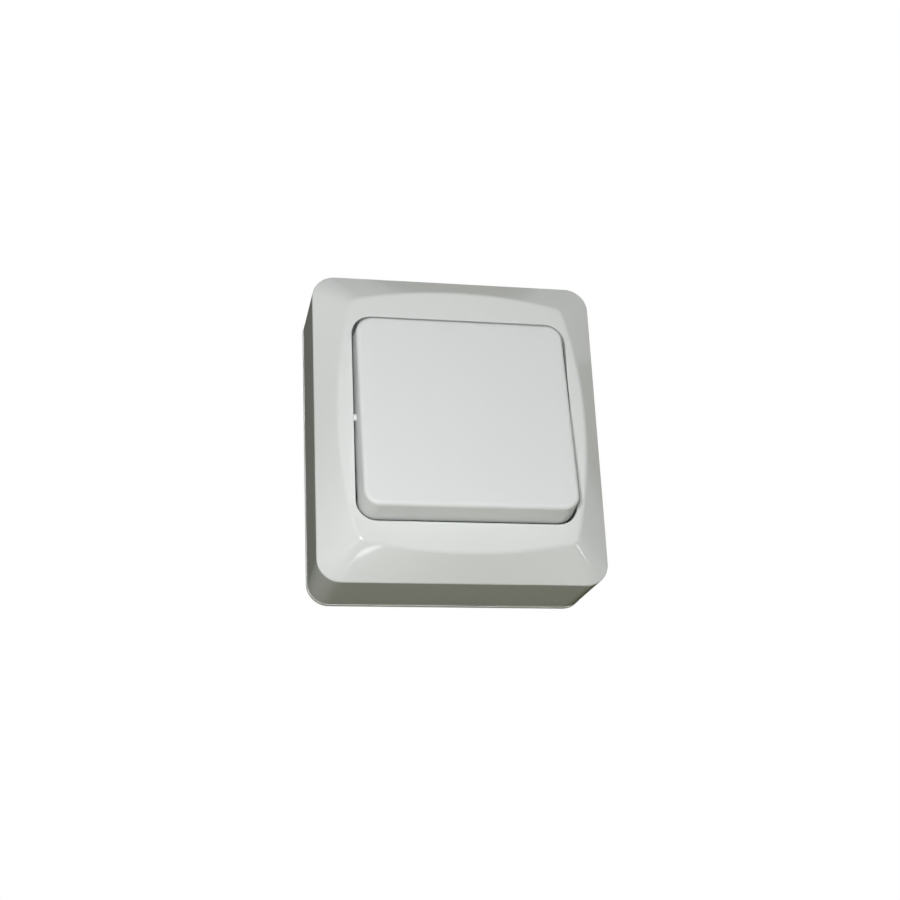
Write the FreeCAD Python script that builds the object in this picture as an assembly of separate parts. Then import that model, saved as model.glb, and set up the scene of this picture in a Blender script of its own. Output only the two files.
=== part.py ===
import FreeCAD, Part

import math
import os

from FreeCAD import Vector

# Surface-mounted push button light switch, in millimetres.
# Each piece is drawn as seen on the wall: x to the right, y up, z out from the wall.
# The finished pieces are then stood upright, with the wall plane at Y = 0 and the face towards -Y.

# Cover: a one-piece housing with a raised cushion-shaped face
frame_width = 80.0
frame_height = 89.0
rim_height = 25.0
face_height = 32.0
rim_corner = 6.5
side_inset = 0.4
cover_wall = 2.2
lens_width = 68.8
lens_height = 76.0
lens_bulge = 128.0
lens_corner = 3.5
rim_round = 1.0
lens_round = 1.4
opening_round = 0.6

# Well in the cover that holds the push button
opening_width = 60.6
opening_height = 59.1
opening_corner = 5.6
well_wall = 1.8
well_floor = 21.5
well_floor_thickness = 1.6
window_clearance = 1.2
window_corner = 2.0

# Push button plate, which rocks on two side pins
tilt_deg = 6.2
pivot_depth = 1.6
side_gap = 0.7
end_gap = 0.7
button_corner = 5.0
button_wall = 1.8
face_lift = 6.1
crown_drop = 1.5
skirt_drop = 2.5
crown_inset = 0.5
face_round = 1.2
pin_radius = 1.0
pin_reach = 0.9
pin_clearance = 0.05
pin_end_clearance = 0.3
rib_thickness = 1.6
rib_spacing = 40.0
stop_inner = 10.0
stop_outer = 24.0
stop_clearance = 0.15
rib_web_drop = 1.0
tip_radius = 1.5
lever_arm = 10.0

# Base plate on the wall
flange_thickness = 1.5
flange_ledge = 0.1
base_floor = 2.5
base_rim_height = 7.0
base_rim_thickness = 1.6
base_fit = 0.25
wall_screw_spacing = 60.0
wall_slot_length = 8.0
wall_slot_width = 4.4
slot_pad_margin = 1.6
slot_pad_height = 1.0
entry_width = 24.0
entry_height = 9.0
entry_rise = 33.0
back_land = 6.0
back_relief = 0.8
back_rib = 5.0
back_rib_corner = 1.2
hole_land = 3.2
knockout_width = 16.0
knockout_rise = 13.0
score_width = 0.6
score_depth = 0.8

# Switch mechanism housing
body_width = 44.0
body_height = 35.0
body_corner = 2.0
body_bottom = 2.0
lid_thickness = 2.2
collar_wall = 1.6
collar_top = 23.5
spring_well_depth = 3.5
pocket_width = 25.0
pocket_height = 10.0
pocket_corner = 1.5
channel_clearance = 0.25

# Plunger, contact bridge and return spring
plunger_size = 7.0
plunger_corner = 0.8
plunger_clearance = 0.15
plunger_chamfer = 0.6
shoulder_width = 13.0
shoulder_depth = 8.0
shoulder_height = 2.0
shoulder_gap = 0.2
touch_gap = 0.05
stem_radius = 2.0
stem_bottom_room = 0.6
bridge_length = 22.0
bridge_width = 6.0
sheet_thickness = 0.8
stem_clearance = 0.1
contact_spacing = 16.0
contact_radius = 1.8
contact_height = 1.0
contact_chamfer = 0.3
contact_room = 0.05
spring_radius = 3.0
spring_wire = 0.5
spring_wire_flats = 6
spring_turns = 5.0
spring_well_clearance = 0.95

# Terminals
terminal_margin = 7.0
terminal_end_margin = 8.5
cage_width = 8.4
cage_length = 7.0
cage_wall = 1.4
cage_opening = 4.8
cage_roof = 2.2
cage_clearance = 0.3
strip_width = 5.2
strip_end_margin = 0.2
wire_hole_radius = 2.1
terminal_screw_room = 2.5

# Screws
cover_screw_offset = 22.0
cover_screw_shank = 1.7
cover_screw_head = 3.25
cover_screw_head_height = 2.2
cover_screw_length = 12.0
cover_post_radius = 3.75
body_screw_margin = 4.5
body_screw_end_margin = 5.0
body_screw_shank = 1.45
body_screw_head = 2.75
body_screw_length = 14.0
body_post_radius = 3.2
body_post_top = 9.0
body_post_clearance = 0.2
terminal_screw_shank = 1.5
terminal_screw_head = 2.8
terminal_screw_head_height = 2.0
terminal_screw_lift = 0.9
thread_clearance = 0.05
through_clearance = 0.2
access_clearance = 0.5
drive_slot_width = 0.8
drive_slot_depth = 0.9
screw_head_chamfer = 0.4

# Levels and widths that follow from the sizes above
tilt = math.radians(tilt_deg)
pivot_height = face_height - pivot_depth
button_width = opening_width - 2 * side_gap
button_height = opening_height - 2 * end_gap
button_face = pivot_height + face_lift
button_ceiling = button_face - button_wall
inner_width = frame_width - 2 * (side_inset + cover_wall)
inner_height = frame_height - 2 * (side_inset + cover_wall)
inner_corner = rim_corner - side_inset - cover_wall
well_underside = well_floor - well_floor_thickness
stroke = 2 * lever_arm * math.sin(tilt)
spring_seat = base_floor + body_bottom
strip_level = spring_seat + spring_well_depth
fixed_contact_top = strip_level + sheet_thickness + contact_height
bridge_underside = fixed_contact_top + contact_room + stroke + contact_height
shoulder_underside = bridge_underside + sheet_thickness
body_top = shoulder_underside + shoulder_height + shoulder_gap
lid_top = body_top + lid_thickness
plunger_top = pivot_height - tip_radius + lever_arm * math.sin(tilt) - touch_gap
terminal_spacing = body_width - 2 * terminal_margin
terminal_rise = body_height / 2 - terminal_end_margin
body_screw_spacing = body_width - 2 * body_screw_margin
body_screw_drop = body_height / 2 - body_screw_end_margin
cage_bottom = strip_level - cage_wall
cage_top = strip_level + cage_opening + cage_roof
far = 2 * (frame_width + frame_height)


def rounded_rect(width, height, radius, z, cx=0.0, cy=0.0):
    """Closed outline of four lines and four corner arcs, starting on the right side."""
    x0, x1 = cx - width / 2, cx + width / 2
    y0, y1 = cy - height / 2, cy + height / 2
    corners = [(x1, y1, 0), (x0, y1, 90), (x0, y0, 180), (x1, y0, 270)]
    ends = []
    for x, y, turn in corners:
        ox = x - radius if x > cx else x + radius
        oy = y - radius if y > cy else y + radius
        arc = []
        for step in (0, 45, 90):
            angle = math.radians(turn + step)
            arc.append(Vector(ox + radius * math.cos(angle), oy + radius * math.sin(angle), z))
        ends.append(arc)
    edges = []
    for index, arc in enumerate(ends):
        edges.append(Part.LineSegment(ends[index - 1][2], arc[0]).toShape())
        edges.append(Part.Arc(*arc).toShape())
    return Part.Wire(edges)


def lens_outline(width, height, bulge, radius, z):
    """Cushion outline: four sides bulged to one radius, joined by tangent corner arcs."""
    a = bulge - width / 2
    b = bulge - height / 2
    reach = bulge - radius
    span = math.hypot(a, b)
    rise = math.sqrt(reach ** 2 - (span / 2) ** 2)
    centre = Vector(-a / 2 + rise * b / span, -b / 2 + rise * a / span, 0)
    side = Vector(-a, 0, 0) + (centre - Vector(-a, 0, 0)) * (bulge / reach)
    end = Vector(0, -b, 0) + (centre - Vector(0, -b, 0)) * (bulge / reach)
    outward = (side - centre).normalize() + (end - centre).normalize()
    middle = centre + outward.normalize() * radius
    edges = []
    for turn in range(2):
        flip = 1 - 2 * turn
        right = [
            Vector(flip * side.x, -flip * side.y, z),
            Vector(flip * width / 2, 0, z),
            Vector(flip * side.x, flip * side.y, z),
        ]
        first = [right[2], Vector(flip * middle.x, flip * middle.y, z), Vector(flip * end.x, flip * end.y, z)]
        top = [first[2], Vector(0, flip * height / 2, z), Vector(-flip * end.x, flip * end.y, z)]
        second = [
            top[2],
            Vector(-flip * middle.x, flip * middle.y, z),
            Vector(-flip * side.x, flip * side.y, z),
        ]
        edges += [Part.Arc(*points).toShape() for points in (right, first, top, second)]
    return Part.Wire(edges)


def slot_outline(length, width, z, cx=0.0, cy=0.0):
    """Closed outline with round ends, running along x."""
    r = width / 2
    x0, x1 = cx - length / 2 + r, cx + length / 2 - r
    edges = [
        Part.LineSegment(Vector(x0, cy - r, z), Vector(x1, cy - r, z)).toShape(),
        Part.Arc(Vector(x1, cy - r, z), Vector(x1 + r, cy, z), Vector(x1, cy + r, z)).toShape(),
        Part.LineSegment(Vector(x1, cy + r, z), Vector(x0, cy + r, z)).toShape(),
        Part.Arc(Vector(x0, cy + r, z), Vector(x0 - r, cy, z), Vector(x0, cy - r, z)).toShape(),
    ]
    return Part.Wire(edges)


def polygon(points):
    """Closed wire through points given in order."""
    return Part.makePolygon(list(points) + [points[0]])


def prism(wire, height):
    """Solid raised along z from a flat outline."""
    return Part.Face(wire).extrude(Vector(0, 0, height))


def post(radius, z0, z1, x=0.0, y=0.0):
    """Round solid along z between two levels."""
    return Part.makeCylinder(radius, z1 - z0, Vector(x, y, z0))


def fuse(first, *others):
    """One solid from touching solids, with seams between flush faces removed."""
    return first.multiFuse(list(others)).removeSplitter()


def level_edges(shape, z, inside=None):
    """Edges that lie flat at one level, optionally only those within a half size of the axis."""
    found = []
    for edge in shape.Edges:
        box = edge.BoundBox
        flat = abs(box.ZMin - z) < 1e-4 and abs(box.ZMax - z) < 1e-4
        near = inside is None or (
            max(abs(box.XMin), abs(box.XMax)) < inside[0] and max(abs(box.YMin), abs(box.YMax)) < inside[1]
        )
        if flat and near:
            found.append(edge)
    return found


def cover_blank():
    """Outer form of the cover: tapered sides, sloping bands and the flat cushion-shaped face."""
    rear = rounded_rect(
        frame_width - 2 * side_inset, frame_height - 2 * side_inset, rim_corner - side_inset, flange_thickness
    )
    rim = rounded_rect(frame_width, frame_height, rim_corner, rim_height)
    lens = lens_outline(lens_width, lens_height, lens_bulge, lens_corner, face_height)
    sides = Part.makeLoft([rear, rim], True, True)
    bands = Part.makeLoft([rim, lens], True, True)
    blank = fuse(sides, bands)
    blank = blank.makeFillet(rim_round, level_edges(blank, rim_height))
    return blank.makeFillet(lens_round, level_edges(blank, face_height))


def cover_cavity():
    """Hollow of the cover, one wall inside its sides, bands and face."""
    run = (frame_width - lens_width) / 2
    rise = face_height - rim_height
    slant = cover_wall * math.hypot(run, rise) / rise
    bend = rim_height + (side_inset + cover_wall - slant) * rise / run
    top_inset = slant - cover_wall * run / rise
    ceiling = face_height - cover_wall
    inner_rear = rounded_rect(inner_width, inner_height, inner_corner, flange_thickness)
    lower = prism(inner_rear, bend - flange_thickness)
    upper = Part.makeLoft(
        [
            rounded_rect(inner_width, inner_height, inner_corner, bend),
            lens_outline(
                lens_width - 2 * top_inset,
                lens_height - 2 * top_inset,
                lens_bulge - top_inset,
                lens_corner - top_inset,
                ceiling,
            ),
        ],
        True,
        True,
    )
    return fuse(lower, upper)


def knockout_score():
    """Thin-wall score line for a cable entry in the top side of the cover."""
    outer_side = frame_height / 2
    floor = outer_side - side_inset - score_depth

    def arch(half, crown):
        shoulder = crown - half
        left = Vector(-half, floor, shoulder)
        right = Vector(half, floor, shoulder)
        foot_right = Vector(half, floor, 0)
        foot_left = Vector(-half, floor, 0)
        edges = [
            Part.LineSegment(foot_left, left).toShape(),
            Part.Arc(left, Vector(0, floor, crown), right).toShape(),
            Part.LineSegment(right, foot_right).toShape(),
            Part.LineSegment(foot_right, foot_left).toShape(),
        ]
        return Part.Face(Part.Wire(edges)).extrude(Vector(0, 2 * (outer_side - floor), 0))

    crown = flange_thickness + knockout_rise
    return arch(knockout_width / 2, crown).cut(arch(knockout_width / 2 - score_width, crown - score_width))


def cover():
    """Cover with its hollow, the button well, the bearing holes and the two screw holes."""
    shell = cover_blank().cut(cover_cavity())
    block_top = face_height - cover_wall / 2
    block = prism(
        rounded_rect(
            opening_width + 2 * well_wall,
            opening_height + 2 * well_wall,
            opening_corner + well_wall,
            well_underside,
        ),
        block_top - well_underside,
    )
    pocket = prism(rounded_rect(opening_width, opening_height, opening_corner, well_floor), far)
    collar = plunger_size + 2 * (plunger_clearance + collar_wall + window_clearance)
    window_outline = rounded_rect(collar, collar, window_corner, well_underside, 0, -lever_arm)
    window = prism(window_outline, well_floor_thickness)
    holes = []
    for end in (-1, 1):
        holes.append(
            post(
                cover_screw_shank + through_clearance,
                well_underside,
                well_floor,
                0,
                end * cover_screw_offset,
            )
        )
        mouth = end * opening_width / 2
        depth = pin_reach + pin_end_clearance
        holes.append(
            Part.makeCylinder(
                pin_radius + pin_clearance, depth, Vector(mouth, 0, pivot_height), Vector(end, 0, 0)
            )
        )
    shell = shell.fuse(block).cut(pocket).removeSplitter()
    near = (opening_width / 2 + well_wall, opening_height / 2 + well_wall)
    shell = shell.makeFillet(opening_round, level_edges(shell, face_height, near))
    return shell.cut(Part.makeCompound([window, knockout_score()] + holes))


def button_shell():
    """Hollow plate of the button: straight skirt, drafted crown and a softly rounded face."""
    skirt_edge = pivot_height - skirt_drop
    waist = pivot_height - crown_drop
    skirt = prism(rounded_rect(button_width, button_height, button_corner, skirt_edge), waist - skirt_edge)
    crown = Part.makeLoft(
        [
            rounded_rect(button_width, button_height, button_corner, waist),
            rounded_rect(
                button_width - 2 * crown_inset,
                button_height - 2 * crown_inset,
                button_corner - crown_inset,
                button_face,
            ),
        ],
        True,
        True,
    )
    plate = fuse(skirt, crown)
    plate = plate.makeFillet(face_round, level_edges(plate, button_face))
    hollow = prism(
        rounded_rect(
            button_width - 2 * button_wall,
            button_height - 2 * button_wall,
            button_corner - button_wall,
            skirt_edge,
        ),
        button_ceiling - skirt_edge,
    )
    return plate.cut(hollow)


def stop_rib(x):
    """Rib under the button whose two sloping feet land flat on the well floor at the ends of the swing."""
    depth = (pivot_height - well_floor - stop_clearance) / math.cos(tilt)
    root = button_ceiling + button_wall / 2
    web = pivot_height - rib_web_drop

    def foot(y):
        return Vector(x, y, pivot_height - depth + abs(y) * math.tan(tilt))

    points = [
        Vector(x, -stop_outer, root),
        foot(-stop_outer),
        foot(-stop_inner),
        Vector(x, -stop_inner, web),
        Vector(x, stop_inner, web),
        foot(stop_inner),
        foot(stop_outer),
        Vector(x, stop_outer, root),
    ]
    return Part.Face(polygon(points)).extrude(Vector(rib_thickness, 0, 0))


def driver_rib():
    """Cross rib with a round tip that bears on the plunger, level with the pivot at mid swing."""
    half = tip_radius
    root = button_ceiling + button_wall / 2
    left = -rib_spacing / 2
    edges = [
        Part.LineSegment(
            Vector(left, -lever_arm - half, root), Vector(left, -lever_arm - half, pivot_height)
        ).toShape(),
        Part.Arc(
            Vector(left, -lever_arm - half, pivot_height),
            Vector(left, -lever_arm, pivot_height - half),
            Vector(left, -lever_arm + half, pivot_height),
        ).toShape(),
        Part.LineSegment(
            Vector(left, -lever_arm + half, pivot_height), Vector(left, -lever_arm + half, root)
        ).toShape(),
        Part.LineSegment(
            Vector(left, -lever_arm + half, root), Vector(left, -lever_arm - half, root)
        ).toShape(),
    ]
    return Part.Face(Part.Wire(edges)).extrude(Vector(rib_spacing, 0, 0))


def push_button():
    """Push button plate with its ribs and pivot pins, tilted to rest with the bottom edge out."""
    pieces = [driver_rib()]
    for side in (-1, 1):
        pieces.append(stop_rib(side * rib_spacing / 2 - rib_thickness / 2))
        pieces.append(
            Part.makeCylinder(
                pin_radius,
                side_gap + button_wall / 2 + pin_reach,
                Vector(side * (button_width / 2 - button_wall / 2), 0, pivot_height),
                Vector(side, 0, 0),
            )
        )
    plate = fuse(button_shell(), *pieces)
    plate.rotate(Vector(0, 0, pivot_height), Vector(1, 0, 0), -tilt_deg)
    return plate


def base_plate():
    """Wall plate with a locating rim, screw posts, wall screw slots, the cable entry and a relieved back."""
    flange = prism(
        rounded_rect(
            frame_width - 2 * (side_inset - flange_ledge),
            frame_height - 2 * (side_inset - flange_ledge),
            rim_corner - side_inset + flange_ledge,
            0,
        ),
        flange_thickness,
    )
    tray_width = inner_width - 2 * base_fit
    tray_height = inner_height - 2 * base_fit
    tray_corner = inner_corner - base_fit
    tray = prism(rounded_rect(tray_width, tray_height, tray_corner, 0), base_rim_height)
    tray = tray.cut(
        prism(
            rounded_rect(
                tray_width - 2 * base_rim_thickness,
                tray_height - 2 * base_rim_thickness,
                tray_corner - base_rim_thickness,
                base_floor,
            ),
            far,
        )
    )
    solids = [tray]
    holes = []
    for end in (-1, 1):
        y = end * cover_screw_offset
        solids.append(post(cover_post_radius, 0, well_underside, 0, y))
        holes.append(post(cover_screw_shank + thread_clearance, base_floor, far, 0, y))
        x = end * body_screw_spacing / 2
        solids.append(post(body_post_radius, 0, body_post_top, x, -body_screw_drop))
        holes.append(post(body_screw_shank + thread_clearance, flange_thickness, far, x, -body_screw_drop))
        slot_x = end * wall_screw_spacing / 2
        pad = wall_slot_width + 2 * slot_pad_margin
        solids.append(
            prism(
                slot_outline(wall_slot_length + 2 * slot_pad_margin, pad, 0, slot_x),
                base_floor + slot_pad_height,
            )
        )
        holes.append(prism(slot_outline(wall_slot_length, wall_slot_width, 0, slot_x), far))
    holes.append(prism(slot_outline(entry_width, entry_height, 0, 0, entry_rise), far))
    plate = fuse(flange, *solids)
    return plate.cut(Part.makeCompound(holes)).cut(back_reliefs())


def back_reliefs():
    """Shallow hollows in the back of the base plate, between its border, cross ribs and hole lands."""
    width = frame_width - 2 * back_land
    height = frame_height - 2 * back_land
    relief = prism(rounded_rect(width, height, rim_corner, 0), back_relief)
    outlines = [
        rounded_rect(back_rib, frame_height, back_rib_corner, 0),
        rounded_rect(frame_width, back_rib, back_rib_corner, 0),
        slot_outline(entry_width + 2 * hole_land, entry_height + 2 * hole_land, 0, 0, entry_rise),
    ]
    for end in (-1, 1):
        length = wall_slot_length + 2 * hole_land
        width = wall_slot_width + 2 * hole_land
        outlines.append(slot_outline(length, width, 0, end * wall_screw_spacing / 2))
    return relief.cut(Part.makeCompound([prism(outline, back_relief) for outline in outlines]))


def strip_plan(side, z):
    """Plan outline of a fixed contact strip, from its contact pad to its terminal leg."""
    pad = bridge_width / 2
    inner = contact_spacing / 2 - pad
    outer = contact_spacing / 2 + pad
    leg_in = terminal_spacing / 2 - strip_width / 2
    leg_out = terminal_spacing / 2 + strip_width / 2
    top = terminal_rise + cage_length / 2 - strip_end_margin
    foot = -lever_arm - pad
    shoulder = -lever_arm + pad
    points = [
        Vector(side * inner, foot, z),
        Vector(side * outer, foot, z),
        Vector(side * outer, shoulder, z),
        Vector(side * leg_out, shoulder + leg_out - outer, z),
        Vector(side * leg_out, top, z),
        Vector(side * leg_in, top, z),
        Vector(side * leg_in, shoulder + leg_in - inner, z),
        Vector(side * inner, shoulder, z),
    ]
    return polygon(points)


def fixed_contact(side):
    """Flat brass strip that leads from the contact point to the terminal."""
    return prism(strip_plan(side, strip_level), sheet_thickness)


def contact_tip(x, z, up):
    """Round contact with a chamfered face, on one side of a strip."""
    disc = post(contact_radius, 0, contact_height)
    disc = disc.makeChamfer(contact_chamfer, level_edges(disc, contact_height))
    if not up:
        disc.rotate(Vector(0, 0, 0), Vector(1, 0, 0), 180)
    disc.translate(Vector(x, -lever_arm, z))
    return disc


def contact_tips(z, up):
    """The pair of contacts on one level."""
    return Part.makeCompound([contact_tip(side * contact_spacing / 2, z, up) for side in (-1, 1)])


def contact_bridge():
    """Moving strip that joins the two fixed contacts when the button is pressed."""
    strip = prism(slot_outline(bridge_length, bridge_width, bridge_underside, 0, -lever_arm), sheet_thickness)
    return strip.cut(post(stem_radius + stem_clearance, bridge_underside, shoulder_underside, 0, -lever_arm))


def plunger():
    """Square plunger with a retaining shoulder, and a round stem that carries the bridge and the spring."""
    shaft = prism(
        rounded_rect(plunger_size, plunger_size, plunger_corner, shoulder_underside, 0, -lever_arm),
        plunger_top - shoulder_underside,
    )
    shaft = shaft.makeChamfer(plunger_chamfer, level_edges(shaft, plunger_top))
    shoulder = prism(
        rounded_rect(shoulder_width, shoulder_depth, plunger_corner, shoulder_underside, 0, -lever_arm),
        shoulder_height,
    )
    stem = post(stem_radius, spring_seat + stroke + stem_bottom_room, shoulder_underside, 0, -lever_arm)
    return fuse(shaft, shoulder, stem)


def return_spring():
    """Compression spring between the housing floor and the contact bridge, its wire drawn with flats."""
    height = bridge_underside - spring_seat - spring_wire
    pitch = height / spring_turns
    helix = Part.makeHelix(pitch, height, spring_radius)
    corners = []
    for flat in range(spring_wire_flats):
        angle = 2 * math.pi * (flat + 0.5) / spring_wire_flats
        x = spring_radius + spring_wire / 2 * math.cos(angle)
        corners.append(Vector(x, 0, spring_wire / 2 * math.sin(angle)))
    spring = Part.Wire(helix.Edges).makePipeShell([polygon(corners)], True, True)
    spring.translate(Vector(0, -lever_arm, spring_seat + spring_wire / 2))
    return spring


def switch_body():
    """Mechanism housing with a spring well, contact pocket, strip channels and two terminal chambers."""
    block = prism(rounded_rect(body_width, body_height, body_corner, base_floor), body_top - base_floor)
    well = spring_radius + spring_wire / 2 + spring_well_clearance
    cuts = [
        post(well, spring_seat, body_top, 0, -lever_arm),
        prism(rounded_rect(pocket_width, pocket_height, pocket_corner, strip_level, 0, -lever_arm), far),
    ]
    for side in (-1, 1):
        channel = strip_plan(side, strip_level).makeOffset2D(channel_clearance)
        cuts.append(prism(channel, far))
        x = side * terminal_spacing / 2
        chamber_width = cage_width + 2 * cage_clearance
        chamber_length = cage_length + 2 * cage_clearance
        chamber = rounded_rect(chamber_width, chamber_length, cage_clearance, cage_bottom, x, terminal_rise)
        cuts.append(prism(chamber, far))
        wire_level = strip_level + sheet_thickness + wire_hole_radius
        cuts.append(
            Part.makeCylinder(
                wire_hole_radius,
                body_height / 2 - terminal_rise,
                Vector(x, terminal_rise, wire_level),
                Vector(0, 1, 0),
            )
        )
        screw_x = side * body_screw_spacing / 2
        cuts.append(post(body_screw_shank + through_clearance, base_floor, far, screw_x, -body_screw_drop))
        cuts.append(
            post(
                body_post_radius + body_post_clearance,
                base_floor,
                body_post_top + body_post_clearance,
                screw_x,
                -body_screw_drop,
            )
        )
    return block.cut(Part.makeCompound(cuts))


def switch_lid():
    """Lid of the mechanism with the plunger's guide collar, screw holes and terminal access holes."""
    plate = prism(rounded_rect(body_width, body_height, body_corner, body_top), lid_thickness)
    guide = plunger_size + 2 * plunger_clearance
    outer = guide + 2 * collar_wall
    collar_outline = rounded_rect(outer, outer, plunger_corner + collar_wall, body_top, 0, -lever_arm)
    collar = prism(collar_outline, collar_top - body_top)
    cuts = [prism(rounded_rect(guide, guide, plunger_corner, body_top, 0, -lever_arm), far)]
    for side in (-1, 1):
        cuts.append(
            post(
                terminal_screw_head + access_clearance,
                body_top,
                far,
                side * terminal_spacing / 2,
                terminal_rise,
            )
        )
        x = side * body_screw_spacing / 2
        cuts.append(post(body_screw_shank + through_clearance, body_top, far, x, -body_screw_drop))
        sink = body_screw_head - body_screw_shank
        cuts.append(
            Part.makeCone(
                body_screw_shank + through_clearance,
                body_screw_head + through_clearance,
                sink,
                Vector(x, -body_screw_drop, lid_top - sink),
            )
        )
    return fuse(plate, collar).cut(Part.makeCompound(cuts))


def terminal_clamp(side):
    """Brass clamp cage around the strip's leg, with a screw hole in its roof."""
    x = side * terminal_spacing / 2
    y0 = terminal_rise - cage_length / 2
    half = cage_width / 2

    def section(reach, z0, z1):
        corners = [(-reach, z0), (reach, z0), (reach, z1), (-reach, z1)]
        return polygon([Vector(x + side_step, y0, z) for side_step, z in corners])

    along = Vector(0, cage_length, 0)
    cage = Part.Face(section(half, cage_bottom, cage_top)).extrude(along)
    mouth = Part.Face(section(half - cage_wall, strip_level, strip_level + cage_opening)).extrude(along)
    thread = post(terminal_screw_shank + thread_clearance, strip_level, cage_top, x, terminal_rise)
    return cage.cut(mouth).cut(thread)


def pan_screw(x, y, seat, head_radius, head_height, shank_radius, length):
    """Screw with a slotted cylinder head whose underside sits at the seat level."""
    head = post(head_radius, seat, seat + head_height, x, y)
    head = head.makeChamfer(screw_head_chamfer, level_edges(head, seat + head_height))
    slot = Part.makeBox(
        2 * head_radius,
        drive_slot_width,
        drive_slot_depth,
        Vector(x - head_radius, y - drive_slot_width / 2, seat + head_height - drive_slot_depth),
    )
    return fuse(head, post(shank_radius, seat - length, seat, x, y)).cut(slot)


def countersunk_screw(x, y, top, head_radius, shank_radius, length):
    """Screw with a slotted conical head flush at its top."""
    depth = head_radius - shank_radius
    head = Part.makeCone(shank_radius, head_radius, depth, Vector(x, y, top - depth))
    slot = Part.makeBox(
        2 * head_radius,
        drive_slot_width,
        drive_slot_depth,
        Vector(x - head_radius, y - drive_slot_width / 2, top - drive_slot_depth),
    )
    return fuse(head, post(shank_radius, top - length, top - depth, x, y)).cut(slot)


def cover_screws():
    """Two screws that hold the cover to the posts of the base plate."""
    return Part.makeCompound(
        [
            pan_screw(
                0,
                end * cover_screw_offset,
                well_floor,
                cover_screw_head,
                cover_screw_head_height,
                cover_screw_shank,
                cover_screw_length,
            )
            for end in (-1, 1)
        ]
    )


def body_screws():
    """Two screws that hold the lid and the mechanism housing to the base plate."""
    return Part.makeCompound(
        [
            countersunk_screw(
                side * body_screw_spacing / 2,
                -body_screw_drop,
                lid_top,
                body_screw_head,
                body_screw_shank,
                body_screw_length,
            )
            for side in (-1, 1)
        ]
    )


def terminal_screws():
    """Two clamping screws, one in the roof of each terminal clamp."""
    seat = cage_top + terminal_screw_lift
    length = seat - (strip_level + sheet_thickness + terminal_screw_room)
    return Part.makeCompound(
        [
            pan_screw(
                side * terminal_spacing / 2,
                terminal_rise,
                seat,
                terminal_screw_head,
                terminal_screw_head_height,
                terminal_screw_shank,
                length,
            )
            for side in (-1, 1)
        ]
    )


def pieces():
    """Every piece of the switch by name."""
    return {
        "base_plate": base_plate(),
        "cover": cover(),
        "push_button": push_button(),
        "switch_body": switch_body(),
        "switch_lid": switch_lid(),
        "plunger": plunger(),
        "contact_bridge": contact_bridge(),
        "bridge_contacts": contact_tips(bridge_underside, False),
        "return_spring": return_spring(),
        "fixed_contact_left": fixed_contact(-1),
        "fixed_contact_right": fixed_contact(1),
        "fixed_contact_tips": contact_tips(strip_level + sheet_thickness, True),
        "terminal_clamp_left": terminal_clamp(-1),
        "terminal_clamp_right": terminal_clamp(1),
        "terminal_screws": terminal_screws(),
        "body_screws": body_screws(),
        "cover_screws": cover_screws(),
    }


os.makedirs("parts", exist_ok=True)
for name, shape in pieces().items():
    shape.rotate(Vector(0, 0, 0), Vector(1, 0, 0), 90)
    shape.exportStep(f"parts/{name}.step")
    print(name, len(shape.Solids), shape.isValid(), round(shape.Volume, 1))
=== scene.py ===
"""Looks of a surface-mounted push button light switch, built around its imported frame.

Lengths are in metres. X runs to the right, Z up, and the wall plane is Y = 0 with the face towards -Y.
"""

import logging
import math
from dataclasses import dataclass, field
from enum import Enum

import bmesh
import bpy
from mathutils import Matrix, Vector


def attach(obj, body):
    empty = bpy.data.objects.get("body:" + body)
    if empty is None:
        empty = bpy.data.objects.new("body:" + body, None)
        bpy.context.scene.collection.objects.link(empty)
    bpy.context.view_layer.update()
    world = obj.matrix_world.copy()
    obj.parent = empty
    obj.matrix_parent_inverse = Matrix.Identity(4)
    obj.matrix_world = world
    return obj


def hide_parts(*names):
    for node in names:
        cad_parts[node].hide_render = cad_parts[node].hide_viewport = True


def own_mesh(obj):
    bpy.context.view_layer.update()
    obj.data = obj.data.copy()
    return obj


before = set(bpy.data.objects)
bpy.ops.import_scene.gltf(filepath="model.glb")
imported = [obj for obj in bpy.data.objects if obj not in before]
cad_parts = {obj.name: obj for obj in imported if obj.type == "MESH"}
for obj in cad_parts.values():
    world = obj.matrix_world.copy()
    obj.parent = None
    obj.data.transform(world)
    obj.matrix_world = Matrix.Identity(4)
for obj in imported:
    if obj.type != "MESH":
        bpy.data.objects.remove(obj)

MM = 0.001
LOG = logging.getLogger("switch")

# Edges sharper than this stay sharp, and large flat faces lead the shading beside them
SHARP_ANGLE = math.radians(32)
FLAT_FACE_LEAD = 100

# A round edge has a circular section and keeps the material beside it
CIRCULAR = 0.5
SAME_MATERIAL = -1

# Octaves of the noise patterns, and how much finer the gloss patches are than the colour patches
COLOUR_OCTAVES = 3
GLOSS_OCTAVES = 4
BRUSHED_OCTAVES = 5
POLISHED_OCTAVES = 2
GLOSS_FINENESS = 3

# Corners of an outline in order, as the signs of X and Z
CORNER_SIGNS = ((1, 1), (-1, 1), (-1, -1), (1, -1))

# Distance of the button's hinge from the wall, and height of the plunger's axis
PIVOT = 30.4 * MM
PLUNGER_RISE = -10.0 * MM

WHITE = (1.0, 1.0, 1.0)
OPAQUE = 1.0
Triple = tuple[float, float, float]


class Grain(Enum):
    """Ways in which a finish breaks up at close range."""

    POLISHED = "polished"
    SPARKED = "sparked"
    BRUSHED = "brushed"


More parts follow.
